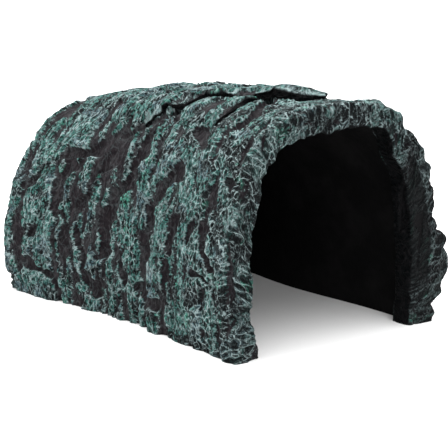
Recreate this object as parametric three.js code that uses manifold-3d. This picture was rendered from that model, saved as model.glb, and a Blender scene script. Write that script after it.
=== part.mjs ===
// Resin cave ornament: an arched rock tunnel, open at the mouth and closed at the back.
// Millimetres. +Z is up, +Y runs from the mouth to the back, and +X is to the right
// of someone who looks into the mouth.
//
// A place on the rock is given by its turn and its depth. The turn runs from 0 at the
// right foot, over the crest at 0.5, to 1 at the left foot. The depth is the distance
// behind the mouth plane.
import * as THREE from 'three';
import { mergeVertices } from 'three/addons/utils/BufferGeometryUtils.js';
import Module from 'manifold-3d';

const wasm = await Module();
wasm.setup();

// Overall sizes
const LENGTH = 226;
const MOUTH_HEIGHT = 137;
const BACK_HEIGHT = 115;
const HEIGHT_FALL = 1.7; // exponent of the fall from the mouth to the back
const LEFT_HALF_WIDTH = 75;
const RIGHT_HALF_WIDTH = 78;
const BACK_SPREAD = 8; // how much wider each side is at the back
const BACK_TUCK = 5; // how far the feet draw in again at the back
const MOUTH_TUCK = 5; // and at the mouth
const TUCK_HEIGHT = 14;

// Squareness of the arch: 2 is a round arch, and more is boxier
const LEFT_SQUARENESS = 3.3;
const RIGHT_SQUARENESS = 3.2;
const BACK_SQUARENESS = 2.4;
const OPENING_SQUARENESS = 4;

// Walls and clearances
const WALL = 7;
const REAR_WALL = 12;
const REAR_EDGE_ROUND = 6;
const SEAM_GAP = 0.3;

// Rim around the mouth, thicker than the wall behind it
const RIM_DEPTH = 13;
const RIM_LEFT = 12;
const RIM_RIGHT = 18;
const RIM_TOP = 12;
const TOE_REACH = 8; // extra thickness of the left foot, inwards
const TOE_HEIGHT = 13;
const LIP_FLARE = 2.5; // the mouth's edge turns outwards
const LIP_DEPTH = 14;
const LOBE_REACH = 8; // bulge on the outside of the right pillar
const LOBE_HEIGHT = 34; // height of its middle
const LOBE_SPREAD = 19;
const LOBE_DEPTH = 32;

// Waist: both flanks draw in towards the middle of the length
const WAIST_REACH = 8.5;
const WAIST_DEPTH = 118;
const WAIST_SPREAD = 62;

// Broad relief of the rock
const STRATA_RISE = 1.3;
const STRATA_PITCH = 36;
const STRATA_WANDER = 9;
const BOULDER_RISE = 0.9;

// Slabs that lie on the rock
const SLAB_EDGE = 1.5; // least thickness, where a slab runs out
const SLAB_SINK = 4; // depth of a slab's raw block below the surface it is cut to
const CROWN_RISE = 5.5;
const CROWN_END = 16; // distance from the crown slab's back to the rear wall
const CROWN_TAPER = 34; // how much shorter the crown slab is along its sides
const SHOULDER_RISE = 3.6;
const UNDERCUT = 2.4; // open crack between the two slabs
const SHOULDER_OVERRUN = 8; // how far its raw block runs past the crack before it is cut

// Front edge of the crown slab, as [turn, share of the length]
const CROWN_FRONT = [
  [0.36, 0.21],
  [0.42, 0.15],
  [0.48, 0.17],
  [0.525, 0.31],
  [0.59, 0.44],
  [0.66, 0.495],
  [0.70, 0.60],
];
// Front edge of the shoulder slab, which stays within the crown slab's turns
const SHOULDER_FRONT = [
  [0.52, 0.245],
  [0.56, 0.25],
  [0.62, 0.225],
  [0.655, 0.24],
  [0.69, 0.28],
];

// Mesh density
const ARCH_STEPS = 52;
const SHELL_STEPS = 26;
const RIM_STEPS = 2;
const REAR_STEPS = 16;
const SLAB_STEPS = 12;

const RESIN = { color: 0x3c4a49, roughness: 0.72, metalness: 0 };
const RESIN_DARK = { color: 0x2c2a2e, roughness: 0.68, metalness: 0 };
const RESIN_GREEN = { color: 0x4f7f74, roughness: 0.74, metalness: 0 };

const shellStart = RIM_DEPTH + SEAM_GAP;
const shellEnd = LENGTH - REAR_WALL - SEAM_GAP;

function bell(value, middle, spread) {
  return Math.exp(-(((value - middle) / spread) ** 2));
}

/** Value of a line of [turn, value] points at one turn, eased between the points. */
function alongPoints(points, turn) {
  const last = points.length - 1;
  if (turn <= points[0][0]) return points[0][1];
  if (turn >= points[last][0]) return points[last][1];
  const next = points.findIndex((point) => point[0] > turn);
  const [fromTurn, fromValue] = points[next - 1];
  const [toTurn, toValue] = points[next];
  const ease = THREE.MathUtils.smoothstep(turn, fromTurn, toTurn);
  return THREE.MathUtils.lerp(fromValue, toValue, ease);
}

/** Arch section at one depth: its height, half widths and squareness. */
function sectionAt(depth) {
  const share = THREE.MathUtils.clamp(depth / LENGTH, 0, 1);
  const waist = WAIST_REACH * bell(depth, WAIST_DEPTH, WAIST_SPREAD);
  const spread = BACK_SPREAD * share ** 2 - waist;
  return {
    height: MOUTH_HEIGHT - (MOUTH_HEIGHT - BACK_HEIGHT) * share ** HEIGHT_FALL,
    left: LEFT_HALF_WIDTH + spread,
    right: RIGHT_HALF_WIDTH + spread,
    leftSquareness: THREE.MathUtils.lerp(LEFT_SQUARENESS, BACK_SQUARENESS, share),
    rightSquareness: THREE.MathUtils.lerp(RIGHT_SQUARENESS, BACK_SQUARENESS, share),
  };
}

/** Direction of a turn, from the middle of the base: cosine across, sine up. */
function turnDirection(turn) {
  const angle = Math.PI * turn;
  const up = turn <= 0 || turn >= 1 ? 0 : Math.sin(angle);
  return new THREE.Vector2(Math.cos(angle), up);
}

/** Point [x, z] of an arch section at one turn. */
function archPoint(turn, section) {
  const direction = turnDirection(turn);
  const onRight = direction.x >= 0;
  const halfWidth = onRight ? section.right : section.left;
  const power = onRight ? section.rightSquareness : section.leftSquareness;
  const reach = (Math.abs(direction.x) ** power + direction.y ** power) ** (-1 / power);
  return new THREE.Vector2(halfWidth * direction.x * reach, section.height * direction.y * reach);
}

/** The same section drawn in by its wall. */
function inset(section, left, right, top) {
  return {
    ...section,
    left: section.left - left,
    right: section.right - right,
    height: section.height - top,
  };
}

/** How far a foot draws in, near the ground. */
function tuck(depth, height) {
  const share = THREE.MathUtils.clamp(depth / LENGTH, 0, 1);
  const reach = BACK_TUCK * share ** 2 + MOUTH_TUCK * (1 - share) ** 4;
  return reach * bell(height, 0, TUCK_HEIGHT);
}

/** Height of the broad rock relief, out from the plain arch. */
function relief(turn, depth) {
  const wander = STRATA_WANDER * Math.sin(2 * Math.PI * (1.4 * turn + 0.1));
  const phase = (2 * Math.PI * (depth + wander)) / STRATA_PITCH;
  const strata = STRATA_RISE * Math.sin(phase + 0.6 * Math.sin(phase));
  const boulders = BOULDER_RISE * Math.sin(11 * turn + depth / 19) * Math.cos(17 * turn - depth / 27);
  return strata + boulders;
}

/** Bulge of the right pillar, which fades behind the mouth. */
function lobe(turn, depth, height) {
  if (turn > 0.5) return 0;
  const swell = Math.exp(-(((height - LOBE_HEIGHT) / LOBE_SPREAD) ** 4));
  return LOBE_REACH * swell * bell(depth, 0, LOBE_DEPTH);
}

/** Point [x, z] of the rock's outer surface, lifted out by a distance. */
function outerPoint(turn, depth, lift) {
  const point = archPoint(turn, sectionAt(depth));
  const flare = LIP_FLARE * bell(depth, 0, LIP_DEPTH);
  const bulges = lobe(turn, depth, point.y) + flare - tuck(depth, point.y);
  return point.addScaledVector(turnDirection(turn), relief(turn, depth) + bulges + lift);
}

/** Point [x, z] of the shell's smooth inner surface. */
function innerPoint(turn, depth) {
  const point = archPoint(turn, inset(sectionAt(depth), WALL, WALL, WALL));
  return point.addScaledVector(turnDirection(turn), -tuck(depth, point.y));
}

/** Point [x, z] of the opening through the rim, with the toe of the left foot. */
function openingPoint(turn, depth) {
  const plain = { ...sectionAt(depth), leftSquareness: OPENING_SQUARENESS, rightSquareness: OPENING_SQUARENESS };
  const point = archPoint(turn, inset(plain, RIM_LEFT, RIM_RIGHT, RIM_TOP));
  const toe = turn > 0.5 ? TOE_REACH * bell(point.y, 0, TOE_HEIGHT) : 0;
  return point.addScaledVector(turnDirection(turn), -toe);
}

/** Closed block of the given segments whose every point is placed by warp(u, v, w). */
function warpedBlock(across, through, along, warp) {
  const block = new THREE.BoxGeometry(1, 1, 1, across, through, along);
  block.deleteAttribute('normal');
  block.deleteAttribute('uv');
  const merged = mergeVertices(block);
  const places = merged.attributes.position;
  for (let i = 0; i < places.count; i++) {
    const placed = warp(places.getX(i) + 0.5, places.getY(i) + 0.5, places.getZ(i) + 0.5);
    places.setXYZ(i, placed.x, placed.y, placed.z);
  }
  return merged;
}

/** Arched wall between an inner and an outer line of points. */
function archedWall(steps, start, end, inner, outer) {
  return warpedBlock(ARCH_STEPS, 1, steps, (turn, through, along) => {
    const depth = THREE.MathUtils.lerp(start, end, along);
    const point = inner(turn, depth).lerp(outer(turn, depth), through);
    return new THREE.Vector3(point.x, depth, point.y);
  });
}

function toSolid(geometry) {
  const mesh = new wasm.Mesh({
    numProp: 3,
    vertProperties: Float32Array.from(geometry.attributes.position.array),
    triVerts: Uint32Array.from(geometry.index.array),
  });
  return new wasm.Manifold(mesh);
}

function toGeometry(solid) {
  const mesh = solid.getMesh();
  const geometry = new THREE.BufferGeometry();
  geometry.setAttribute('position', new THREE.BufferAttribute(mesh.vertProperties, 3));
  geometry.setIndex(new THREE.BufferAttribute(mesh.triVerts, 1));
  geometry.computeVertexNormals();
  return geometry;
}

function caveShell() {
  return archedWall(SHELL_STEPS, shellStart, shellEnd, innerPoint, (turn, depth) => outerPoint(turn, depth, 0));
}

function mouthRim() {
  return archedWall(RIM_STEPS, 0, RIM_DEPTH, openingPoint, (turn, depth) => outerPoint(turn, depth, 0));
}

/** Rock face that closes the back, its outer edge rounded over. */
function rearWall() {
  const start = LENGTH - REAR_WALL;
  return warpedBlock(2 * REAR_STEPS, REAR_STEPS, 1, (u, v, w) => {
    const across = 1 - 2 * u;
    const reach = Math.max(Math.abs(across), v);
    const turn = Math.atan2(v, across) / Math.PI;
    const edge = outerPoint(turn, start, 0);
    const swell = relief(turn + 0.2 * reach, 40 * reach) * Math.sin(Math.PI * reach);
    const back = REAR_WALL - REAR_EDGE_ROUND * reach ** 8 + swell;
    return new THREE.Vector3(edge.x * reach, start + back * w, edge.y * reach);
  });
}

/** Body that a slab is cut by, so that its underside follows the shell at the seam gap. */
function slabSeat() {
  const seat = archedWall(
    SHELL_STEPS,
    shellStart,
    shellEnd,
    (turn, depth) => outerPoint(turn, depth, -3 * SLAB_SINK),
    (turn, depth) => outerPoint(turn, depth, SEAM_GAP),
  );
  return toSolid(seat);
}

/** Depth of a slab's front edge at one turn. */
function frontEdge(points, turn) {
  return LENGTH * alongPoints(points, turn);
}

/** Depth of the crown slab's back edge, which bows backwards in its middle. */
function crownBack(turn) {
  const across = THREE.MathUtils.mapLinear(turn, CROWN_FRONT[0][0], CROWN_FRONT.at(-1)[0], -1, 1);
  return shellEnd - CROWN_END - CROWN_TAPER * across ** 2;
}

/** Block over a patch of rock, as wide as a line of points, and sunk into the rock. */
function patch(points, frontAt, backAt, sink, thicknessAt) {
  const block = warpedBlock(SLAB_STEPS, 1, SLAB_STEPS, (u, v, w) => {
    const turn = THREE.MathUtils.lerp(points[0][0], points.at(-1)[0], u);
    const depth = THREE.MathUtils.lerp(frontAt(turn), backAt(turn), w);
    const point = outerPoint(turn, depth, v > 0.5 ? thicknessAt(u, w) : -sink);
    return new THREE.Vector3(point.x, depth, point.y);
  });
  return toSolid(block);
}

/** Slab on the rock, thickest along its front edge and thin where it runs out. */
function slab(points, backAt, rise) {
  const raw = patch(points, (turn) => frontEdge(points, turn), backAt, SLAB_SINK, (u, w) => {
    const ends = Math.max(Math.sin(Math.PI * u), 0) ** 0.6;
    return SLAB_EDGE + (rise - SLAB_EDGE) * ends * (1 - w ** 2);
  });
  return raw.subtract(slabSeat());
}

function crownSlab() {
  return toGeometry(slab(CROWN_FRONT, crownBack, CROWN_RISE));
}

/** The shoulder slab runs back to the crack in front of the crown slab. */
function shoulderSlab() {
  const tall = 2 * (CROWN_RISE + SHOULDER_RISE);
  const crackAt = (turn) => frontEdge(CROWN_FRONT, turn) - UNDERCUT;
  const keepOut = patch(CROWN_FRONT, crackAt, crownBack, tall, () => tall);
  const underCrown = (turn) => frontEdge(CROWN_FRONT, turn) + SHOULDER_OVERRUN;
  return toGeometry(slab(SHOULDER_FRONT, underCrown, SHOULDER_RISE).subtract(keepOut));
}

function piece(name, geometry, finish) {
  const mesh = new THREE.Mesh(geometry, new THREE.MeshStandardMaterial(finish));
  mesh.name = name;
  return mesh;
}

const cave = new THREE.Group();
cave.add(piece('cave_shell', caveShell(), RESIN));
cave.add(piece('mouth_rim', mouthRim(), RESIN));
cave.add(piece('rear_wall', rearWall(), RESIN_DARK));
cave.add(piece('crown_slab', crownSlab(), RESIN_GREEN));
cave.add(piece('shoulder_slab', shoulderSlab(), RESIN_GREEN));

// The origin is the middle of the footprint, on the ground.
const bounds = new THREE.Box3().setFromObject(cave);
const middle = bounds.getCenter(new THREE.Vector3());
cave.position.set(-middle.x, -middle.y, -bounds.min.z);

export default cave;
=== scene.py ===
"""Resin cave ornament: painted rock built over its fixed frame.

Sizes are millimetres in the fields below and metres in the meshes. A place on the rock is
its arc (how far round the arch it lies, from the right foot over the crest to the left
foot), its depth behind the mouth and its rise above the plain arch.
"""

import logging
import math
from dataclasses import dataclass
from enum import Enum

import bmesh
import bpy
import numpy as np
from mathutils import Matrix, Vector, noise


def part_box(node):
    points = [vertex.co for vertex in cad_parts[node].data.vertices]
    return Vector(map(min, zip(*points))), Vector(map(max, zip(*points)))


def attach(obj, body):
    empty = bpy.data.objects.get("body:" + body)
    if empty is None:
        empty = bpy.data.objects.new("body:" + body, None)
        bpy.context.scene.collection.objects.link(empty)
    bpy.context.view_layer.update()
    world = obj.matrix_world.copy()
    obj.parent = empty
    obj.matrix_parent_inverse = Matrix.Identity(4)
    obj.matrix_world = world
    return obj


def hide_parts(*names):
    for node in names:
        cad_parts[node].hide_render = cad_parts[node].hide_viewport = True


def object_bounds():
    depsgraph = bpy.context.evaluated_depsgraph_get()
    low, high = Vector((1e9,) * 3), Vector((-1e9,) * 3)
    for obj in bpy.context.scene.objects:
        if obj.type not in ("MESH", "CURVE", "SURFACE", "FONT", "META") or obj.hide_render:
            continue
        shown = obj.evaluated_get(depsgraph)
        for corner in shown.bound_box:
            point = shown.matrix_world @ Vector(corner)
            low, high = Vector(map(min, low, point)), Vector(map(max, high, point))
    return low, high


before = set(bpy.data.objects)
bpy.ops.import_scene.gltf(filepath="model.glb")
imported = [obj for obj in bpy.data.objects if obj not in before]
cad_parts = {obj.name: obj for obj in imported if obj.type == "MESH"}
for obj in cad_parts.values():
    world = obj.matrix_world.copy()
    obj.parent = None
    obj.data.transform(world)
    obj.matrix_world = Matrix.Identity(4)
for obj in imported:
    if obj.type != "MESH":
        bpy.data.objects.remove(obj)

LOG = logging.getLogger("cave")
MM = 0.001
CAD_LOW, CAD_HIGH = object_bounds()
Socket = bpy.types.NodeSocket
Colour = tuple[float, float, float]


class Zone(Enum):
    """What a face of a rock piece is, as the number kept on the face."""

    OUTSIDE = 0
    BROKEN = 1
    INSIDE = 2
    BASE = 3
    SEAM = 4
    LINING = 5


SHOWN = (Zone.OUTSIDE.value, Zone.BROKEN.value, Zone.LINING.value)


class Weave(Enum):
    """How the pits of the rock are stretched, as shares of their size along arc, depth and rise."""

    FLANK = (0.34, 1.0, 1.0)
    MOUTH = (0.85, 1.0, 1.0)
    RIM = (1.0, 0.55, 0.55)
    STRAND = (0.17, 1.0, 1.0)
    HAIR = (0.26, 1.0, 1.0)


@dataclass(frozen=True)
class Arch:
    """The plain arch that the rock follows, in millimetres."""

    length: float
    front: float
    middle: float = -3.8
    mouth_height: float = 137.0
    height_fall: float = 22.0
    left_half_width: float = 75.0
    right_half_width: float = 78.0
    back_spread: float = 8.0
    waist_reach: float = 8.5
    waist_depth: float = 118.0
    waist_spread: float = 62.0
    squareness: float = 3.2
    steps: int = 400

    def section(self, depth: np.ndarray, right: np.ndarray) -> tuple[np.ndarray, np.ndarray]:
        """Height and half width of the arch.

        Args:
            depth: distances behind the mouth.
            right: true where a point is on the right-hand side.

        Returns:
            The arch's height and its half width at each point.
        """
        share = np.clip(depth / self.length, 0, 1)
        waist = self.waist_reach * np.exp(-(((depth - self.waist_depth) / self.waist_spread) ** 2))
        spread = self.back_spread * share**2 - waist
        half = np.where(right, self.right_half_width, self.left_half_width) + spread
        return self.mouth_height - self.height_fall * share**1.7, half

    def arc(self, turn: np.ndarray) -> np.ndarray:
        """Arc length at each turn.

        Args:
            turn: 0 at the right foot, 0.5 at the crest and 1 at the left foot.

        Returns:
            Millimetres round the arch from the right foot.
        """
        turns = np.linspace(0, 1, self.steps)
        cosine, sine = np.cos(np.pi * turns), np.sin(np.pi * turns)
        reach = (np.abs(cosine) ** self.squareness + sine**self.squareness) ** (-1 / self.squareness)
        across = self.left_half_width * reach * cosine
        up = self.mouth_height * reach * sine
        steps = np.hypot(np.diff(across), np.diff(up))
        return np.interp(turn, turns, np.concatenate([[0], np.cumsum(steps)]))

    def turn(self, points: np.ndarray) -> np.ndarray:
        """Turn of each point, from its coordinates in millimetres."""
        across = points[:, 0] - self.middle
        height, half = self.section(points[:, 1] - self.front, across >= 0)
        return np.arctan2(np.maximum(points[:, 2], 0) / height, across / half) / np.pi

    def place(self, points: np.ndarray) -> np.ndarray:
        """Arc, depth and rise of each point.

        Args:
            points: coordinates in millimetres.

        Returns:
            One row of arc, depth and rise for each point.
        """
        across = points[:, 0] - self.middle
        depth = points[:, 1] - self.front
        height, half = self.section(depth, across >= 0)
        power = self.squareness
        level = (np.abs(across / half) ** power + np.abs(points[:, 2] / height) ** power) ** (1 / power)
        rise = (level - 1) * np.hypot(across, points[:, 2])
        return np.stack([self.arc(self.turn(points)), depth, rise], 1)

    def outward(self, points: np.ndarray) -> np.ndarray:
        """Unit direction away from the tunnel at each point, level along the depth."""
        across = points[:, 0] - self.middle
        height, half = self.section(points[:, 1] - self.front, across >= 0)
        power = self.squareness - 1
        side = np.sign(across) * np.abs(across / half) ** power / half
        up = np.abs(points[:, 2] / height) ** power / height
        span = np.maximum(np.hypot(side, up), 1e-9)
        return np.stack([side / span, np.zeros_like(side), up / span], 1)


@dataclass(frozen=True)
class Hollow:
    """A smooth dark hollow between two layers, along [turn, depth] points."""

    points: tuple[tuple[float, float], ...]
    width: float
    deep: float
    even: bool = False

    def nearness(
        self, arch: Arch, arcs: np.ndarray, depths: np.ndarray, spread: np.ndarray
    ) -> np.ndarray:
        """How far inside the hollow each place lies.

        Args:
            arch: the arch that gives the arc of each turn.
            arcs: arc of each place.
            depths: depth of each place.
            spread: how much wider than its width the hollow is there, unless it is even.

        Returns:
            1 along the hollow's middle, 0 at its edge and outside it.
        """
        line = np.array(self.points)
        line[:, 0] = arch.arc(line[:, 0])
        nearest = np.full(len(arcs), np.inf)
        for start, end in zip(line[:-1], line[1:]):
            along = end - start
            share = ((arcs - start[0]) * along[0] + (depths - start[1]) * along[1]) / (along @ along)
            share = np.clip(share, 0, 1)
            gap = np.hypot(arcs - start[0] - share * along[0], depths - start[1] - share * along[1])
            nearest = np.minimum(nearest, gap)
        widths = self.width if self.even else self.width * spread
        return np.clip(1 - nearest / widths, 0, 1)


# These places were not chosen by hand. A scratch program worked them out, by casting rays through
# a fitted camera onto the outer skin at points picked by eye, and its output was copied here.
LEFT_HOLLOWS = (
    Hollow(((0.522, 61), (0.545, 75), (0.575, 89), (0.620, 100), (0.655, 108)), 6.0, 6.0, even=True),
    Hollow(((0.560, 45), (0.611, 37), (0.665, 32), (0.705, 39)), 4.5, 1.6),
    Hollow(((0.545, 60), (0.508, 53), (0.478, 38), (0.440, 33)), 8.0, 2.2),
    Hollow(((0.679, 112), (0.735, 110), (0.776, 115), (0.810, 124), (0.860, 131), (0.912, 131)), 7.5, 2.8),
    Hollow(((0.690, 127), (0.712, 136), (0.752, 137), (0.790, 145), (0.842, 157), (0.879, 160)), 5.0, 3.2),
    Hollow(((0.879, 160), (0.913, 150), (0.971, 142)), 4.5, 2.2),
    Hollow(((0.768, 65), (0.786, 73), (0.812, 82), (0.837, 90), (0.892, 91)), 6.5, 2.4),
    Hollow(((0.747, 156), (0.752, 170), (0.755, 182)), 5.0, 2.8),
    Hollow(((0.776, 177), (0.812, 179), (0.861, 178)), 6.0, 2.2),
    Hollow(((0.857, 171), (0.893, 166), (0.926, 159), (0.960, 154)), 4.0, 1.6),
    Hollow(((0.895, 114), (0.939, 112)), 4.5, 1.6),
    Hollow(((0.833, 44), (0.846, 48), (0.867, 51)), 5.0, 1.4),
    Hollow(((0.838, 30), (0.886, 27)), 4.0, 1.2),
    Hollow(((0.892, 21), (0.909, 18), (0.935, 12)), 4.0, 1.2),
    Hollow(((0.893, 40), (0.905, 27)), 3.0, 1.0),
    Hollow(((0.945, 100), (0.959, 80)), 5.0, 1.5),
    Hollow(((0.894, 69), (0.946, 68)), 4.0, 1.3),
    Hollow(((0.830, 63), (0.878, 66)), 4.0, 1.3),
    Hollow(((0.726, 80), (0.758, 87)), 4.0, 1.3),
    Hollow(((0.693, 66), (0.723, 54)), 3.5, 1.6),
    Hollow(((0.770, 20), (0.785, 8)), 3.0, 1.0),
    Hollow(((0.794, 201), (0.808, 205), (0.823, 212)), 4.0, 1.2),
    Hollow(((0.858, 192), (0.892, 199)), 5.0, 1.6),
    Hollow(((0.940, 203), (0.954, 183)), 5.0, 1.4),
)


@dataclass(frozen=True)
class Swell:
    """A knob, or a dip where its rise is negative, on the outer edge of the mouth."""

    turn: float
    rise: float
    spread: float


SWELLS = (
    Swell(0.280, -4.2, 9.0),
    Swell(0.345, 1.8, 11.0),
    Swell(0.215, -1.2, 7.0),
    Swell(0.120, 1.4, 9.0),
    Swell(0.770, -1.0, 8.0),
)


@dataclass(frozen=True)
class Grooves:
    """All the hollows and swells of the rock, with frayed edges."""

    arch: Arch
    fray: float = 5.5
    fray_size: float = 16.0
    mirror_shift: float = 14.0
    mirror_share: float = 0.88
    mirror_width: float = 0.75
    crest_hollows: int = 3
    swell_depth: float = 60.0
    spread: float = 0.95
    spread_size: float = 13.0
    spread_swing: float = 1.3
    spread_least: float = 0.30

    def hollows(self) -> tuple[Hollow, ...]:
        """The left flank's hollows, with shifted likenesses on the right of all but the crest's."""
        right = tuple(
            Hollow(
                tuple((1 - t, d * self.mirror_share + self.mirror_shift) for t, d in hollow.points),
                hollow.width * self.mirror_width,
                hollow.deep,
            )
            for hollow in LEFT_HOLLOWS[self.crest_hollows:]
        )
        return LEFT_HOLLOWS + right

    def carve(self, place: np.ndarray) -> tuple[np.ndarray, np.ndarray]:
        """Depth of the carving and share of hollow at each place.

        Args:
            place: rows of arc, depth and rise.

        Returns:
            Millimetres to cut away, and 0 to 1 for how hollow each place is.
        """
        swing = np.array([noise.noise_vector(Vector(row) / self.fray_size) for row in place])
        shiver = np.array([noise.noise_vector(Vector(row) / (self.fray_size / 4)) for row in place])
        moved = place + swing * self.fray + shiver * self.fray / 3.5
        swell = np.array([noise.noise(Vector(row) / self.spread_size) for row in place])
        spread = np.clip(self.spread + swell * self.spread_swing, self.spread_least, None)
        cut = np.zeros(len(place))
        share = np.zeros(len(place))
        for hollow in self.hollows():
            near = hollow.nearness(self.arch, moved[:, 0], moved[:, 1], spread)
            floor = np.clip(near * 2.2, 0, 1)
            floor = floor * floor * (3 - 2 * floor)
            cut = np.maximum(cut, floor * hollow.deep)
            share = np.maximum(share, floor)
        fade = np.clip(1 - place[:, 1] / self.swell_depth, 0, 1)
        for swell in SWELLS:
            away = (place[:, 0] - self.arch.arc(swell.turn)) / swell.spread
            cut = cut - swell.rise * np.exp(-(away**2)) * fade
        return cut, share


class Wiring:
    """Adds nodes to a tree, for a shape or for a finish."""

    def __init__(self, tree: bpy.types.NodeTree) -> None:
        """Keep the tree that the nodes go into."""
        self.tree = tree

    def node(self, kind: str, **settings: object) -> bpy.types.Node:
        """A new node of one kind, with its settings."""
        made = self.tree.nodes.new(kind)
        for name, value in settings.items():
            setattr(made, name, value)
        return made

    def feed(self, target: Socket, value: object) -> None:
        """Link a socket to a socket, or set its value."""
        if isinstance(value, bpy.types.NodeSocket):
            self.tree.links.new(value, target)
        else:
            target.default_value = value

    def math(self, operation: str, first: object, second: object = 0.0) -> Socket:
        """One sum of one or two values."""
        made = self.node("ShaderNodeMath", operation=operation)
        self.feed(made.inputs[0], first)
        self.feed(made.inputs[1], second)
        return made.outputs[0]

    def times(self, *values: object) -> Socket:
        """Product of two or more values."""
        made = values[0]
        for value in values[1:]:
            made = self.math("MULTIPLY", made, value)
        return made

    def plus(self, *values: object) -> Socket:
        """Sum of two or more values."""
        made = values[0]
        for value in values[1:]:
            made = self.math("ADD", made, value)
        return made

    def rest(self, value: object) -> Socket:
        """One less a value."""
        return self.math("SUBTRACT", 1.0, value)

    def step(self, value: Socket, low: float, high: float) -> Socket:
        """Smooth step from 0 at low to 1 at high; low may be the larger."""
        made = self.node("ShaderNodeMapRange", interpolation_type="SMOOTHSTEP")
        self.feed(made.inputs["Value"], value)
        turned = low > high
        made.inputs["From Min"].default_value = high if turned else low
        made.inputs["From Max"].default_value = low if turned else high
        made.inputs["To Min"].default_value = 1.0 if turned else 0.0
        made.inputs["To Max"].default_value = 0.0 if turned else 1.0
        return made.outputs["Result"]

    def stretch(self, place: Socket, shares: tuple[float, float, float]) -> Socket:
        """A place with each of its three parts multiplied."""
        made = self.node("ShaderNodeVectorMath", operation="MULTIPLY")
        self.feed(made.inputs[0], place)
        made.inputs[1].default_value = shares
        return made.outputs[0]

    def shift(self, place: Socket, by: tuple[float, float, float]) -> Socket:
        """A place moved by a fixed amount."""
        made = self.node("ShaderNodeVectorMath", operation="ADD")
        self.feed(made.inputs[0], place)
        made.inputs[1].default_value = by
        return made.outputs[0]

    def depth(self, place: Socket) -> Socket:
        """The depth part of a place."""
        made = self.node("ShaderNodeSeparateXYZ")
        self.feed(made.inputs[0], place)
        return made.outputs[1]

    def cloud(self, place: Socket, size: float, detail: float = 2.0, roughness: float = 0.5) -> Socket:
        """Soft noise about 0.5, with patches of one size."""
        made = self.node("ShaderNodeTexNoise", noise_dimensions="3D")
        self.feed(made.inputs["Vector"], place)
        made.inputs["Scale"].default_value = 1 / size
        made.inputs["Detail"].default_value = detail
        made.inputs["Roughness"].default_value = roughness
        return made.outputs[0]

    def creases(self, place: Socket, size: float, detail: float = 3.0) -> Socket:
        """Noise with sharp crests."""
        made = self.node("ShaderNodeTexNoise", noise_dimensions="3D", noise_type="RIDGED_MULTIFRACTAL")
        self.feed(made.inputs["Vector"], place)
        made.inputs["Scale"].default_value = 1 / size
        made.inputs["Detail"].default_value = detail
        made.inputs["Roughness"].default_value = 0.55
        return made.outputs[0]

    def stray(self, place: Socket, size: float, reach: float) -> Socket:
        """A place pushed about by noise."""
        cloud = self.node("ShaderNodeTexNoise", noise_dimensions="3D")
        self.feed(cloud.inputs["Vector"], place)
        cloud.inputs["Scale"].default_value = 1 / size
        cloud.inputs["Detail"].default_value = 1.0
        centred = self.shift(cloud.outputs[1], (-0.5, -0.5, -0.5))
        push = self.stretch(centred, (reach * 2, reach * 2, reach * 2))
        made = self.node("ShaderNodeVectorMath", operation="ADD")
        self.feed(made.inputs[0], place)
        self.feed(made.inputs[1], push)
        return made.outputs[0]

    def edge(self, place: Socket, size: float) -> Socket:
        """Distance to the nearest wall between pits, as a share of the pits' size."""
        made = self.node("ShaderNodeTexVoronoi", feature="DISTANCE_TO_EDGE", voronoi_dimensions="3D")
        self.feed(made.inputs["Vector"], place)
        made.inputs["Scale"].default_value = 1 / size
        return made.outputs["Distance"]

    def blend(self, share: Socket, first: object, second: object) -> Socket:
        """Two values mixed by a share."""
        made = self.node("ShaderNodeMix", data_type="FLOAT")
        self.feed(made.inputs[0], share)
        self.feed(made.inputs[2], first)
        self.feed(made.inputs[3], second)
        return made.outputs[0]

    def paint(self, share: Socket, first: object, second: object) -> Socket:
        """Two colours mixed by a share."""
        made = self.node("ShaderNodeMix", data_type="RGBA")
        self.feed(made.inputs[0], share)
        for socket, value in ((made.inputs[6], first), (made.inputs[7], second)):
            self.feed(socket, value if isinstance(value, bpy.types.NodeSocket) else (*value, 1.0))
        return made.outputs[2]


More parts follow.
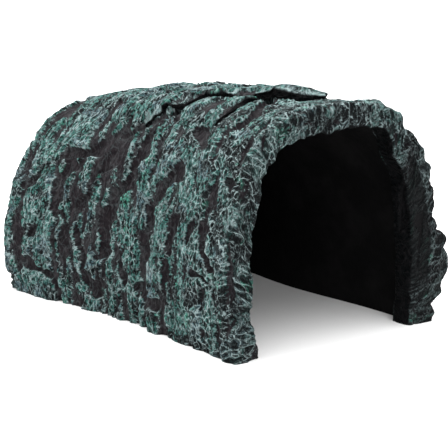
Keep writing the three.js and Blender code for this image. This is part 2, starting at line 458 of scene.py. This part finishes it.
@dataclass(frozen=True)
class Relief:
    """Pits, walls and strands of the rock, wired alike into its shape and its finish."""

    pit: float = 3.0
    mouth_pit: float = 3.6
    rim_pit: float = 4.6
    fine_pit: float = 1.7
    strand: float = 8.5
    strand_rise: float = 2.4
    lump: float = 13.0
    lump_rise: float = 3.5
    wall_rise: float = 0.70
    crease_rise: float = 0.70
    fine_rise: float = 0.15

    def wire(self, wiring: Wiring, place: Socket, hollow: Socket) -> dict[str, Socket]:
        """The parts of the relief at a place.

        Args:
            wiring: the tree that the nodes go into.
            place: arc, depth and rise in millimetres.
            hollow: 0 to 1 for how hollow the place is.

        Returns:
            Sockets named raised, wall, line, fine, deep, margin, crease, mouth, rim and height.
        """
        w = wiring
        swayed = w.stray(place, 24.0, 5.0)
        frayed = w.stray(w.stray(swayed, 5.0, 1.7), 1.9, 0.30)
        depth = w.depth(swayed)
        near_mouth = w.step(depth, 78.0, 30.0)
        on_rim = w.step(depth, 24.0, 12.0)
        strand = w.cloud(w.stretch(frayed, Weave.STRAND.value), self.strand, 2.6, 0.5)
        broad = w.step(strand, 0.43, 0.50)
        open_share = w.blend(near_mouth, broad, w.step(strand, 0.34, 0.45))
        lump = w.plus(w.cloud(w.stretch(swayed, (0.6, 1.0, 1.0)), self.lump, 1.0, 0.4), -0.5)
        raised = w.times(open_share, w.rest(hollow))
        flank_edge = w.edge(w.stretch(frayed, Weave.FLANK.value), self.pit)
        mouth_edge = w.edge(w.stretch(frayed, Weave.MOUTH.value), self.mouth_pit)
        rim_edge = w.edge(w.stretch(frayed, Weave.RIM.value), self.rim_pit)
        edge = w.blend(on_rim, w.blend(near_mouth, flank_edge, mouth_edge), rim_edge)
        wall = w.step(edge, 0.26, 0.03)
        deep = w.step(edge, 0.13, 0.21)
        margin = w.times(w.step(strand, 0.410, 0.435), w.step(strand, 0.480, 0.455))
        line = w.step(w.times(edge, w.plus(1.0, w.times(on_rim, 0.7))), 0.072, 0.02)
        fine_place = w.stretch(frayed, (0.55, 1.0, 1.0))
        fine = w.step(w.edge(fine_place, self.fine_pit), 0.17, 0.04)
        crease = w.step(w.creases(w.stretch(frayed, Weave.HAIR.value), 3.4, 3.0), 0.55, 1.30)
        presence = w.plus(0.22, w.times(raised, 0.78))
        height = w.plus(
            w.times(raised, self.strand_rise),
            w.times(lump, self.lump_rise),
            w.times(wall, presence, self.wall_rise),
            w.times(crease, w.rest(near_mouth), presence, self.crease_rise),
            w.times(fine, presence, self.fine_rise),
            -(self.strand_rise + self.wall_rise) / 2,
        )
        return {
            "raised": raised,
            "wall": wall,
            "line": line,
            "fine": fine,
            "deep": deep,
            "margin": margin,
            "crease": crease,
            "mouth": near_mouth,
            "rim": on_rim,
            "height": height,
        }


@dataclass(frozen=True)
class PaintedRock:
    """Near-black resin dry-brushed in grey-green, with pale crests and bare dark hollows; painted shade goes
    near black on the broken slab fronts and in the pit centres and pores.
    """

    name: str
    dark: Colour = (0.0088, 0.0068, 0.0088)
    brown: Colour = (0.0180, 0.0138, 0.0158)
    dust: Colour = (0.0400, 0.0365, 0.0395)
    # Painted shade in pit centres and pores, darker than the bare black resin.
    pit: Colour = (0.0012, 0.0018, 0.0021)
    wash: Colour = (0.0105, 0.0160, 0.0172)
    green: Colour = (0.0440, 0.1420, 0.1250)
    slate: Colour = (0.0700, 0.0900, 0.1250)
    bright_green: Colour = (0.0420, 0.2100, 0.1500)
    pale: Colour = (0.2300, 0.2980, 0.3000)
    # Bare black resin, and painted shade on the broken slab fronts.
    bare_black_and_shade: Colour = (0.0035, 0.0034, 0.0038)

    def wire(self, w: Wiring, place: Socket, relief: Relief) -> tuple[Socket, Socket, Socket]:
        """Paint, roughness and fine height.

        Args:
            w: the material's tree.
            place: arc, depth and rise in millimetres.
            relief: the relief that the paint follows.

        Returns:
            Sockets of the colour, the roughness and the height for the bump, in millimetres.
        """
        hollow = w.node("ShaderNodeAttribute", attribute_name="hollow").outputs["Fac"]
        brush_and_shade = w.node("ShaderNodeAttribute", attribute_name="brush_and_shade").outputs["Fac"]
        fray = w.times(w.plus(w.cloud(place, 2.6, 3.0, 0.6), -0.5), 0.9)
        ragged = w.plus(hollow, fray)
        bare = w.step(ragged, 0.30, 0.60)
        lip = w.times(w.step(ragged, 0.06, 0.20), w.step(ragged, 0.38, 0.24))
        parts = relief.wire(w, place, bare)
        raised = parts["raised"]
        laid_and_shade = w.times(brush_and_shade, brush_and_shade)
        streaked = w.stretch(place, (0.30, 1.0, 1.0))
        patch = w.cloud(w.shift(place, (31.0, 7.0, 3.0)), 15.0, 3.0, 0.55)
        other = w.cloud(w.shift(place, (90.0, 2.0, 41.0)), 11.0, 2.0, 0.5)
        speck = w.cloud(w.stretch(place, (0.62, 1.0, 1.0)), 1.5, 2.0, 0.6)
        prick = w.cloud(w.stretch(place, (0.7, 1.0, 1.0)), 0.95, 1.0, 0.5)
        grain = w.cloud(streaked, 0.75, 3.0, 0.7)
        streak = w.cloud(streaked, 2.2, 3.0, 0.65)
        tint = w.paint(w.step(grain, 0.35, 0.68), self.dark, self.brown)
        tint = w.paint(w.times(w.step(streak, 0.49, 0.64), 0.70), tint, self.dust)
        # Near black where the paint share is low: bare resin on the rim's lining and pillar, and painted
        # shade on the broken slab fronts.
        bare_and_shaded = w.step(w.plus(brush_and_shade, w.times(fray, 0.4)), 0.70, 0.25)
        tint = w.paint(w.times(bare_and_shaded, 0.92), tint, self.bare_black_and_shade)
        tint = w.paint(w.times(w.step(w.plus(raised, w.times(patch, 0.7)), 0.45, 1.3), laid_and_shade), tint, self.wash)
        cover = w.plus(patch, w.times(speck, 0.25), w.times(parts["mouth"], -0.05))
        thick = w.step(cover, 0.548, 0.588)
        flecked = w.step(w.plus(raised, w.times(w.plus(prick, -0.5), 1.6)), 0.32, 0.62)
        scant = w.rest(w.times(parts["rim"], 0.40))
        cool = w.cloud(w.shift(place, (70.0, 33.0, 9.0)), 17.0, 2.0, 0.5)
        coat = w.paint(w.times(w.step(cool, 0.53, 0.64), 0.65), self.green, self.slate)
        tint = w.paint(w.times(thick, flecked, laid_and_shade, laid_and_shade, scant, 0.92), tint, coat)
        jewel = w.cloud(w.shift(place, (5.0, 60.0, 9.0)), 11.0, 1.0, 0.4)
        jewel = w.step(w.plus(jewel, w.times(speck, 0.30)), 0.80, 0.90)
        tint = w.paint(w.times(jewel, raised, laid_and_shade, 0.85), tint, self.bright_green)
        # Painted shade: pit centres and pores go darker than the bare resin, more on raised rock and near the
        # mouth.
        centres = w.times(parts["deep"], w.plus(0.45, w.times(parts["mouth"], 0.5)))
        shaded_holes = w.math("MAXIMUM", w.step(speck, 0.505, 0.470), centres)
        shaded_holes = w.math("MAXIMUM", shaded_holes, w.times(w.step(prick, 0.450, 0.410), 0.8))
        tint = w.paint(w.times(shaded_holes, w.plus(0.35, w.times(raised, 0.60))), tint, self.pit)
        broken = w.plus(0.30, w.times(w.step(speck, 0.40, 0.50), 0.60))
        veined = w.plus(0.25, w.times(w.step(other, 0.42, 0.54), 0.75))
        clear = w.rest(w.times(parts["deep"], 0.85))
        stroke = w.plus(
            w.times(parts["line"], w.plus(0.78, w.times(parts["mouth"], 0.22)), veined, broken),
            w.times(parts["margin"], w.rest(parts["mouth"]), w.step(speck, 0.40, 0.50), 0.60),
            w.times(parts["crease"], w.rest(parts["mouth"]), 0.22),
            w.times(parts["fine"], w.step(patch, 0.46, 0.60), clear, 0.30),
            w.times(w.step(prick, 0.56, 0.64), clear, w.plus(0.12, w.times(parts["rim"], 0.30))),
            w.times(lip, 0.45),
        )
        reach = w.plus(0.09, w.times(flecked, 0.91))
        stroke = w.math("MINIMUM", w.times(stroke, reach, laid_and_shade), 1.0)
        tint = w.paint(stroke, tint, self.pale)
        roughness = w.plus(0.52, w.times(parts["wall"], 0.14))
        bump = w.plus(
            w.times(parts["wall"], reach, 0.45),
            w.times(parts["fine"], reach, 0.26),
            w.times(parts["crease"], reach, 0.22),
            w.times(grain, 0.16),
        )
        return tint, roughness, bump

    def material(self, relief: Relief) -> bpy.types.Material:
        """The finish as a material.

        Args:
            relief: the relief that the paint follows.

        Returns:
            A material that reads the piece's own place, hollow and brush attributes.
        """
        made = bpy.data.materials.new(self.name)
        made.use_nodes = True
        w = Wiring(made.node_tree)
        shader = made.node_tree.nodes["Principled BSDF"]
        place = w.node("ShaderNodeAttribute", attribute_name="place").outputs["Vector"]
        tint, roughness, bump = self.wire(w, place, relief)
        w.feed(shader.inputs["Base Color"], tint)
        w.feed(shader.inputs["Roughness"], roughness)
        shader.inputs["Specular IOR Level"].default_value = 0.05
        dent = w.node("ShaderNodeBump")
        dent.inputs["Distance"].default_value = MM
        dent.inputs["Strength"].default_value = 1.0
        w.feed(dent.inputs["Height"], bump)
        w.feed(shader.inputs["Normal"], dent.outputs["Normal"])
        return made


@dataclass(frozen=True)
class BareInside:
    """The unbrushed near-black inside of the tunnel."""

    name: str = "bare_inside"
    dark: Colour = (0.0030, 0.0030, 0.0032)
    light: Colour = (0.0065, 0.0062, 0.0065)

    def material(self) -> bpy.types.Material:
        """The finish as a material."""
        made = bpy.data.materials.new(self.name)
        made.use_nodes = True
        w = Wiring(made.node_tree)
        shader = made.node_tree.nodes["Principled BSDF"]
        where = w.node("ShaderNodeTexCoord").outputs["Object"]
        cloud = w.cloud(where, 0.022, 3.0, 0.6)
        w.feed(shader.inputs["Base Color"], w.paint(w.step(cloud, 0.4, 0.7), self.dark, self.light))
        w.feed(shader.inputs["Roughness"], w.plus(0.62, w.times(cloud, 0.2)))
        shader.inputs["Specular IOR Level"].default_value = 0.06
        dent = w.node("ShaderNodeBump")
        dent.inputs["Distance"].default_value = 0.4 * MM
        w.feed(dent.inputs["Height"], w.cloud(where, 0.004, 3.0, 0.6))
        w.feed(shader.inputs["Normal"], dent.outputs["Normal"])
        return made


@dataclass
class RockPiece:
    """One body of rock, made from a merged copy of its node."""

    node: str
    name: str
    slot: str
    arch: Arch
    grooves: Grooves
    relief: Relief
    seams: tuple[float, ...]
    grain: float = 1.0
    under: Zone = Zone.INSIDE
    inside_grain: float = 4.0
    smoothing: int = 10
    seam_reach: float = 0.8
    base_fade: float = 5.0
    carved: float = 1.0

    def merged_copy(self) -> bmesh.types.BMesh:
        """The node's own shape, merged, with its flat pairs of triangles joined."""
        form = bmesh.new()
        form.from_mesh(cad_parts[self.node].data)
        bmesh.ops.remove_doubles(form, verts=form.verts, dist=0.001 * MM)
        bmesh.ops.join_triangles(
            form, faces=form.faces, angle_face_threshold=0.6, angle_shape_threshold=0.7
        )
        form.normal_update()
        return form

    def sort_faces(self, form: bmesh.types.BMesh) -> None:
        """Write each face's zone on it.

        Args:
            form: the merged copy.
        """
        layer = form.faces.layers.int.new("zone")
        centres = np.array([face.calc_center_median() for face in form.faces]) / MM
        outward = self.arch.outward(centres)
        for face, centre, away in zip(form.faces, centres, outward):
            facing = face.normal.dot(Vector(away))
            if face.normal.z < -0.9 and centre[2] < 0.5:
                zone = Zone.BASE
            elif abs(face.normal.y) > 0.9 and self.on_seam(centre[1]):
                zone = Zone.SEAM
            elif facing > 0.35:
                zone = Zone.OUTSIDE
            elif facing < -0.35:
                zone = Zone.INSIDE
            else:
                zone = Zone.BROKEN
            face[layer] = zone.value

    def on_seam(self, along: float) -> bool:
        """Whether a depth along Y, in millimetres, lies on a seam plane."""
        return any(abs(along - seam) < self.seam_reach for seam in self.seams)

    def refine(self, form: bmesh.types.BMesh) -> None:
        """Halve long edges until the skin is as fine as its grain.

        Args:
            form: the merged copy with its zones.
        """
        layer = form.faces.layers.int["zone"]
        shown = set(SHOWN)
        for _ in range(8):
            long_edges = []
            for edge in form.edges:
                zones = {face[layer] for face in edge.link_faces}
                if zones & shown:
                    limit = self.grain
                elif Zone.INSIDE.value in zones:
                    limit = self.inside_grain
                else:
                    continue
                if edge.calc_length() > 1.42 * limit * MM:
                    long_edges.append(edge)
            if not long_edges:
                break
            bmesh.ops.subdivide_edges(form, edges=long_edges, cuts=1, use_grid_fill=True)

    def soften(self, form: bmesh.types.BMesh) -> None:
        """Round the flats of the coarse shape, away from seams and base.

        Args:
            form: the refined copy.
        """
        layer = form.faces.layers.int["zone"]
        shown = {*SHOWN, Zone.INSIDE.value}
        loose = [
            vert
            for vert in form.verts
            if vert.link_faces and all(face[layer] in shown for face in vert.link_faces)
        ]
        for _ in range(self.smoothing):
            bmesh.ops.smooth_vert(
                form, verts=loose, factor=0.5, use_axis_x=True, use_axis_y=True, use_axis_z=True
            )

    def close_seams(self, points: np.ndarray) -> None:
        """Bring the points beside a seam onto it, so that the layers read as one casting."""
        for seam in self.seams:
            beside = np.abs(points[:, 1] - seam) < self.seam_reach / 2
            points[beside, 1] = seam

    def shape_more(self, points: np.ndarray, place: np.ndarray, shown: np.ndarray) -> np.ndarray:
        """Extra millimetres to move each point outwards; a plain piece has none."""
        return np.zeros(len(points))

    def brush_and_shade(self, points: np.ndarray, place: np.ndarray, shares: dict[Zone, np.ndarray]) -> np.ndarray:
        """How much paint each point takes, lowered also where painted shade goes; a plain piece takes it all
        over.
        """
        return np.ones(len(points))

    def lay_out(self, points: np.ndarray, ways: np.ndarray) -> np.ndarray:
        """Arc, depth and rise of each point, for the relief and the finish."""
        return self.arch.place(points)

    def settle(self, points: np.ndarray, shown: np.ndarray) -> np.ndarray:
        """Points once the hidden faces have been moved; a plain piece leaves them."""
        return points

    def dress_mesh(self, mesh: bpy.types.Mesh) -> None:
        """Carve the hollows and write the attributes that the relief and the finish read.

        Args:
            mesh: the refined mesh, changed in place.
        """
        count = len(mesh.vertices)
        points = np.zeros(count * 3)
        mesh.vertices.foreach_get("co", points)
        points = points.reshape(-1, 3) / MM
        normals = np.zeros(len(mesh.polygons) * 3)
        mesh.polygons.foreach_get("normal", normals)
        areas = np.zeros(len(mesh.polygons))
        mesh.polygons.foreach_get("area", areas)
        zones = np.zeros(len(mesh.polygons), np.int32)
        mesh.attributes["zone"].data.foreach_get("value", zones)
        sides = np.zeros(len(mesh.polygons), np.int32)
        mesh.polygons.foreach_get("loop_total", sides)
        corners = np.zeros(len(mesh.loops), np.int32)
        mesh.loops.foreach_get("vertex_index", corners)
        owners = np.repeat(np.arange(len(sides)), sides)
        visible = np.isin(zones, SHOWN)
        pull = (normals.reshape(-1, 3) * (areas * visible)[:, None])[owners]
        ways = np.stack([np.bincount(corners, pull[:, axis], count) for axis in range(3)], 1)
        on_seam = np.bincount(corners, (zones == Zone.SEAM.value)[owners], count) > 0
        ways[on_seam, 1] = 0
        on_base = points[:, 2] < 0.05
        ways[on_base, 2] = 0
        lengths = np.linalg.norm(ways, axis=1)
        shown = lengths > 1e-12
        ways = ways / np.maximum(lengths, 1e-12)[:, None]
        ways[:, 2] *= np.clip(points[:, 2] / self.base_fade, 0, 1)
        self.close_seams(points)
        place = self.lay_out(points, ways)
        cut, hollow = (values * self.carved for values in self.grooves.carve(place))
        more = self.shape_more(points, place, shown)
        lift = self.arch.outward(points)
        lift[:, 2] *= np.clip(points[:, 2] / self.base_fade, 0, 1)
        points = points + lift * ((more - cut) * shown)[:, None]
        points = self.settle(points, shown)
        self.write(mesh, "place", "FLOAT_VECTOR", place)
        around = np.maximum(np.bincount(corners, minlength=count), 1)
        shares = {
            zone: np.bincount(corners, (zones == zone.value)[owners], count) / around
            for zone in (Zone.LINING, Zone.BROKEN)
        }
        # Paint share at each point, lowered on the broken slab fronts for painted shade; it also scales the
        # relief.
        brushed_and_shaded = self.brush_and_shade(points, place, shares)
        self.write(mesh, "way", "FLOAT_VECTOR", ways * (shown * (0.3 + 0.7 * brushed_and_shaded))[:, None])
        self.write(mesh, "hollow", "FLOAT", hollow)
        self.write(mesh, "brush_and_shade", "FLOAT", brushed_and_shaded)
        mesh.vertices.foreach_set("co", (points * MM).ravel())

    @staticmethod
    def write(mesh: bpy.types.Mesh, name: str, kind: str, values: np.ndarray) -> None:
        """Store one value or vector for each point of a mesh."""
        layer = mesh.attributes.new(name, kind, "POINT")
        layer.data.foreach_set("vector" if kind == "FLOAT_VECTOR" else "value", values.ravel())

    def relief_tree(self) -> bpy.types.NodeTree:
        """The node tree that pushes each point out by the relief's height."""
        tree = bpy.data.node_groups.new(f"{self.name}_relief", "GeometryNodeTree")
        tree.interface.new_socket("Geometry", in_out="INPUT", socket_type="NodeSocketGeometry")
        tree.interface.new_socket("Geometry", in_out="OUTPUT", socket_type="NodeSocketGeometry")
        w = Wiring(tree)
        taken = w.node("NodeGroupInput")
        given = w.node("NodeGroupOutput")
        read = {}
        for name, kind in (("place", "FLOAT_VECTOR"), ("way", "FLOAT_VECTOR"), ("hollow", "FLOAT")):
            source = w.node("GeometryNodeInputNamedAttribute", data_type=kind)
            source.inputs["Name"].default_value = name
            read[name] = source.outputs["Attribute"]
        height = self.relief.wire(w, read["place"], read["hollow"])["height"]
        offset = w.node("ShaderNodeVectorMath", operation="SCALE")
        w.feed(offset.inputs[0], read["way"])
        w.feed(offset.inputs["Scale"], w.times(height, MM))
        move = w.node("GeometryNodeSetPosition")
        w.feed(move.inputs["Geometry"], taken.outputs[0])
        w.feed(move.inputs["Offset"], offset.outputs[0])
        w.feed(given.inputs[0], move.outputs[0])
        return tree

    def raise_relief(self, mesh: bpy.types.Mesh) -> bpy.types.Mesh:
        """The mesh with the relief applied to it.

        Args:
            mesh: the carved mesh with its attributes.

        Returns:
            A plain mesh, with no modifier left to run.
        """
        block = bpy.data.objects.new(f"{self.name}_block", mesh)
        bpy.context.scene.collection.objects.link(block)
        block.modifiers.new("relief", "NODES").node_group = self.relief_tree()
        graph = bpy.context.evaluated_depsgraph_get()
        made = bpy.data.meshes.new_from_object(block.evaluated_get(graph), depsgraph=graph)
        bpy.data.objects.remove(block)
        return made

    def build(self, finishes: dict[Zone, bpy.types.Material]) -> bpy.types.Object:
        """Make the piece and put it on the frame.

        Args:
            finishes: the material of the outside and of the inside.

        Returns:
            The finished piece.
        """
        form = self.merged_copy()
        self.sort_faces(form)
        self.refine(form)
        self.soften(form)
        mesh = bpy.data.meshes.new(self.name)
        form.to_mesh(mesh)
        form.free()
        self.dress_mesh(mesh)
        made = self.raise_relief(mesh)
        made.name = self.name
        zones = np.zeros(len(made.polygons), np.int32)
        made.attributes["zone"].data.foreach_get("value", zones)
        made.materials.clear()
        made.materials.append(finishes[Zone.OUTSIDE])
        made.materials.append(finishes[self.under])
        hidden = ~np.isin(zones, SHOWN)
        made.polygons.foreach_set("material_index", hidden.astype(np.int32))
        made.polygons.foreach_set("use_smooth", np.ones(len(zones), bool))
        made.set_sharp_from_angle(angle=math.radians(70))
        piece = bpy.data.objects.new(self.name, made)
        bpy.context.scene.collection.objects.link(piece)
        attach(piece, "root")
        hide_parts(self.node)
        triangles = sum(len(face.vertices) - 2 for face in made.polygons)
        LOG.info("%s: %d triangles", self.name, triangles)
        return piece


@dataclass
class MouthRim(RockPiece):
    """The thick ragged collar round the mouth."""

    dull_turn: float = 0.30
    dull: float = 0.80
    lining_dull: float = 0.97
    face_dull: float = 0.17
    edge_dull: float = 0.42
    foot_height: float = 30.0
    foot_dull: float = 0.55
    outer_band: float = 2.0
    knob: float = 8.0
    knob_rise: float = 4.5
    knob_depth: float = 12.0
    inner_knobs: float = 0.55

    def sort_faces(self, form: bmesh.types.BMesh) -> None:
        """Write each face's zone on it; the rim's inner face is rock too, but hardly painted."""
        super().sort_faces(form)
        layer = form.faces.layers.int["zone"]
        for face in form.faces:
            if face[layer] == Zone.INSIDE.value:
                face[layer] = Zone.LINING.value

    def shape_more(self, points: np.ndarray, place: np.ndarray, shown: np.ndarray) -> np.ndarray:
        """Knobs along the rim's outer edge, gone where it meets the shell."""
        knobs = np.array([noise.noise(Vector(row) / self.knob) for row in place])
        fade = np.clip(1 - place[:, 1] / self.knob_depth, 0, 1)
        outer = np.clip((place[:, 2] + 8) / 8, self.inner_knobs, 1)
        return knobs * self.knob_rise * fade * outer

    def brush_and_shade(self, points: np.ndarray, place: np.ndarray, shares: dict[Zone, np.ndarray]) -> np.ndarray:
        """Thin paint on the front, and hardly any on the lining and the right-hand pillar."""
        turn = self.arch.turn(points)
        right = np.clip((self.dull_turn - turn) / 0.08, 0, 1)
        inner = np.clip((-place[:, 2] - self.outer_band) / 3.0, 0, 1)
        inner = inner * np.clip(points[:, 2] / self.foot_height, self.foot_dull, 1)
        dulled = np.maximum(self.dull * right * inner, self.lining_dull * shares[Zone.LINING])
        thinned = np.maximum(self.face_dull * shares[Zone.BROKEN], self.edge_dull * right)
        return 1 - np.maximum(dulled, thinned)


@dataclass
class RearWall(RockPiece):
    """The rock face that closes the back, with its own upright layout."""

    facing: float = 0.72
    arc_start: float = 1000.0
    depth_start: float = 400.0

    def lay_out(self, points: np.ndarray, ways: np.ndarray) -> np.ndarray:
        """Arc, depth and rise, with height as arc and width as depth on the back face."""
        place = super().lay_out(points, ways)
        behind = ways[:, 1] > self.facing
        back = points[behind]
        place[behind] = np.stack(
            [self.arc_start + back[:, 2], self.depth_start + back[:, 0], back[:, 1] - CAD_HIGH.y / MM], 1
        )
        return place


@dataclass
class Slab(RockPiece):
    """A layer that lies on the roof, broken off along its front and run out elsewhere."""

    run_out: float = 12.0
    sink: float = 3.4
    let_in: float = 6.5
    merge_turns: tuple[float, float] = (0.662, 0.70)
    merge_sink: float = 7.0
    shadowed: float = 0.96
    front_facing: float = -0.1
    ragged: float = 5.0
    ragged_size: float = 7.0
    ragged_reach: float = 11.0

    @staticmethod
    def gap(points: np.ndarray, hem: np.ndarray) -> np.ndarray:
        """Distance from each point to the nearest point of a hem."""
        nearest = np.full(len(points), np.inf)
        for start in range(0, len(hem), 64):
            batch = hem[start:start + 64]
            gaps = np.linalg.norm(points[:, None, :] - batch[None, :, :], axis=2)
            nearest = np.minimum(nearest, gaps.min(1))
        return nearest

    def shape_more(self, points: np.ndarray, place: np.ndarray, shown: np.ndarray) -> np.ndarray:
        """Sink the margins that aren't broken into the rock below."""
        share = np.clip(1 - self.gap(points, self.plain_hem) / self.run_out, 0, 1)
        start, end = self.merge_turns
        merged = np.clip((self.arch.turn(points) - start) / (end - start), 0, 1)
        return -np.maximum(self.sink * share**1.6, self.merge_sink * merged**1.5)

    def settle(self, points: np.ndarray, shown: np.ndarray) -> np.ndarray:
        """Points with a ragged front, and the underside let into the wall below, out of sight."""
        near = np.clip(1 - self.gap(points, self.front_hem) / self.ragged_reach, 0, 1)
        sway = np.array([noise.noise(Vector(row) / self.ragged_size) for row in points])
        hidden = ~shown
        points[hidden] -= self.arch.outward(points[hidden]) * self.let_in
        points[:, 1] += sway * near * self.ragged
        return points

    def sort_faces(self, form: bmesh.types.BMesh) -> None:
        """Write each face's zone on it, and keep the hems of the broken front and of the rest."""
        super().sort_faces(form)
        layer = form.faces.layers.int["zone"]
        broken = [face for face in form.faces if face[layer] == Zone.BROKEN.value]
        fronts = np.array([face.normal.y <= self.front_facing for face in broken])
        hem = np.array([face.calc_center_median() / MM for face in broken])
        self.front_hem, self.plain_hem = hem[fronts], hem[~fronts]
        # Every broken face joins the lining zone, whose low paint share makes it near black as painted shade.
        for face in broken:
            face[layer] = Zone.LINING.value

    def brush_and_shade(self, points: np.ndarray, place: np.ndarray, shares: dict[Zone, np.ndarray]) -> np.ndarray:
        """Paint on the top of the slab, and painted shade on its broken front: little paint, so it goes near
        black like a shaded overhang.
        """
        return 1 - self.shadowed * shares[Zone.LINING]


@dataclass(frozen=True)
class Studio:
    """Pale floor, soft light and camera, in metres."""

    azimuth: float = 38.49
    elevation: float = 13.11
    distance: float = 1.5265
    aim: tuple[float, float, float] = (0.0003, -0.0060, 0.0504)
    lens: float = 200.9
    floor_tint: Colour = (0.86, 0.86, 0.86)

    def camera(self) -> None:
        """Make the camera and look through it."""
        turn, tilt = math.radians(self.azimuth), math.radians(self.elevation)
        back = Vector((-math.sin(turn) * math.cos(tilt), -math.cos(turn) * math.cos(tilt), math.sin(tilt)))
        data = bpy.data.cameras.new("camera")
        data.lens = self.lens
        data.clip_start, data.clip_end = 0.05, 20.0
        camera = bpy.data.objects.new("camera", data)
        camera.location = Vector(self.aim) + back * self.distance
        camera.rotation_euler = (-back).to_track_quat("-Z", "Y").to_euler()
        bpy.context.scene.collection.objects.link(camera)
        bpy.context.scene.camera = camera

    def light(self, name: str, place: Vector, size: float, power: float) -> None:
        """One square soft light that faces the object.

        Args:
            name: the light's name.
            place: where it hangs.
            size: the length of its side.
            power: watts.
        """
        data = bpy.data.lights.new(name, "AREA")
        data.shape = "SQUARE"
        data.size = size
        data.energy = power
        lamp = bpy.data.objects.new(name, data)
        lamp.location = place
        lamp.rotation_euler = (Vector((0, 0, 0.07)) - place).to_track_quat("-Z", "Y").to_euler()
        bpy.context.scene.collection.objects.link(lamp)

    def build(self) -> None:
        """Set out the floor, the lights and the white room."""
        form = bmesh.new()
        bmesh.ops.create_grid(form, x_segments=1, y_segments=1, size=6.0)
        mesh = bpy.data.meshes.new("floor")
        form.to_mesh(mesh)
        form.free()
        paper = bpy.data.materials.new("pale_paper")
        paper.use_nodes = True
        shader = paper.node_tree.nodes["Principled BSDF"]
        shader.inputs["Base Color"].default_value = (*self.floor_tint, 1.0)
        shader.inputs["Roughness"].default_value = 0.9
        shader.inputs["Specular IOR Level"].default_value = 0.1
        mesh.materials.append(paper)
        floor = bpy.data.objects.new("floor", mesh)
        bpy.context.scene.collection.objects.link(floor)
        self.light("overhead", Vector((-0.10, 0.25, 1.50)), 3.2, 118.0)
        self.light("front", Vector((-0.50, -1.60, 0.80)), 1.0, 10.0)
        world = bpy.data.worlds.new("room")
        world.use_nodes = True
        world.node_tree.nodes["Background"].inputs["Color"].default_value = (1.0, 1.0, 1.0, 1.0)
        world.node_tree.nodes["Background"].inputs["Strength"].default_value = 0.5
        bpy.context.scene.world = world
        bpy.context.scene.view_settings.view_transform = "Standard"


def seam_planes() -> tuple[float, ...]:
    """Where the shell meets the rim and the rear wall, along Y in millimetres."""
    rim_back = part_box("mouth_rim")[1].y
    shell_front, shell_back = (corner.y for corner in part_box("cave_shell"))
    rear_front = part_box("rear_wall")[0].y
    return ((rim_back + shell_front) / 2 / MM, (shell_back + rear_front) / 2 / MM)


def main() -> None:
    """Build the room, then each piece of rock, and report them."""
    logging.basicConfig(level=logging.INFO, format="%(name)s: %(message)s")
    studio = Studio()
    studio.camera()
    studio.build()
    front = CAD_LOW.y / MM
    arch = Arch(length=CAD_HIGH.y / MM - front, front=front)
    grooves = Grooves(arch)
    relief = Relief()
    rock = PaintedRock("painted_rock").material(relief)
    inside = BareInside().material()
    finishes = {Zone.OUTSIDE: rock, Zone.INSIDE: inside}
    shared = (arch, grooves, relief, seam_planes())
    layer = {"grain": 0.8, "under": Zone.OUTSIDE, "smoothing": 4}
    pieces = (
        RockPiece("cave_shell", "rock_shell", "painted_rock", *shared),
        MouthRim("mouth_rim", "rock_rim", "rim_rock", *shared, grain=0.7, smoothing=14),
        RearWall("rear_wall", "rock_back", "painted_rock", *shared),
        Slab("crown_slab", "rock_crown", "painted_rock", *shared, **layer, carved=0.25),
        Slab("shoulder_slab", "rock_shoulder", "painted_rock", *shared, **layer),
    )
    for piece in pieces:
        piece.build(finishes)


if __name__ == "__main__":
    main()
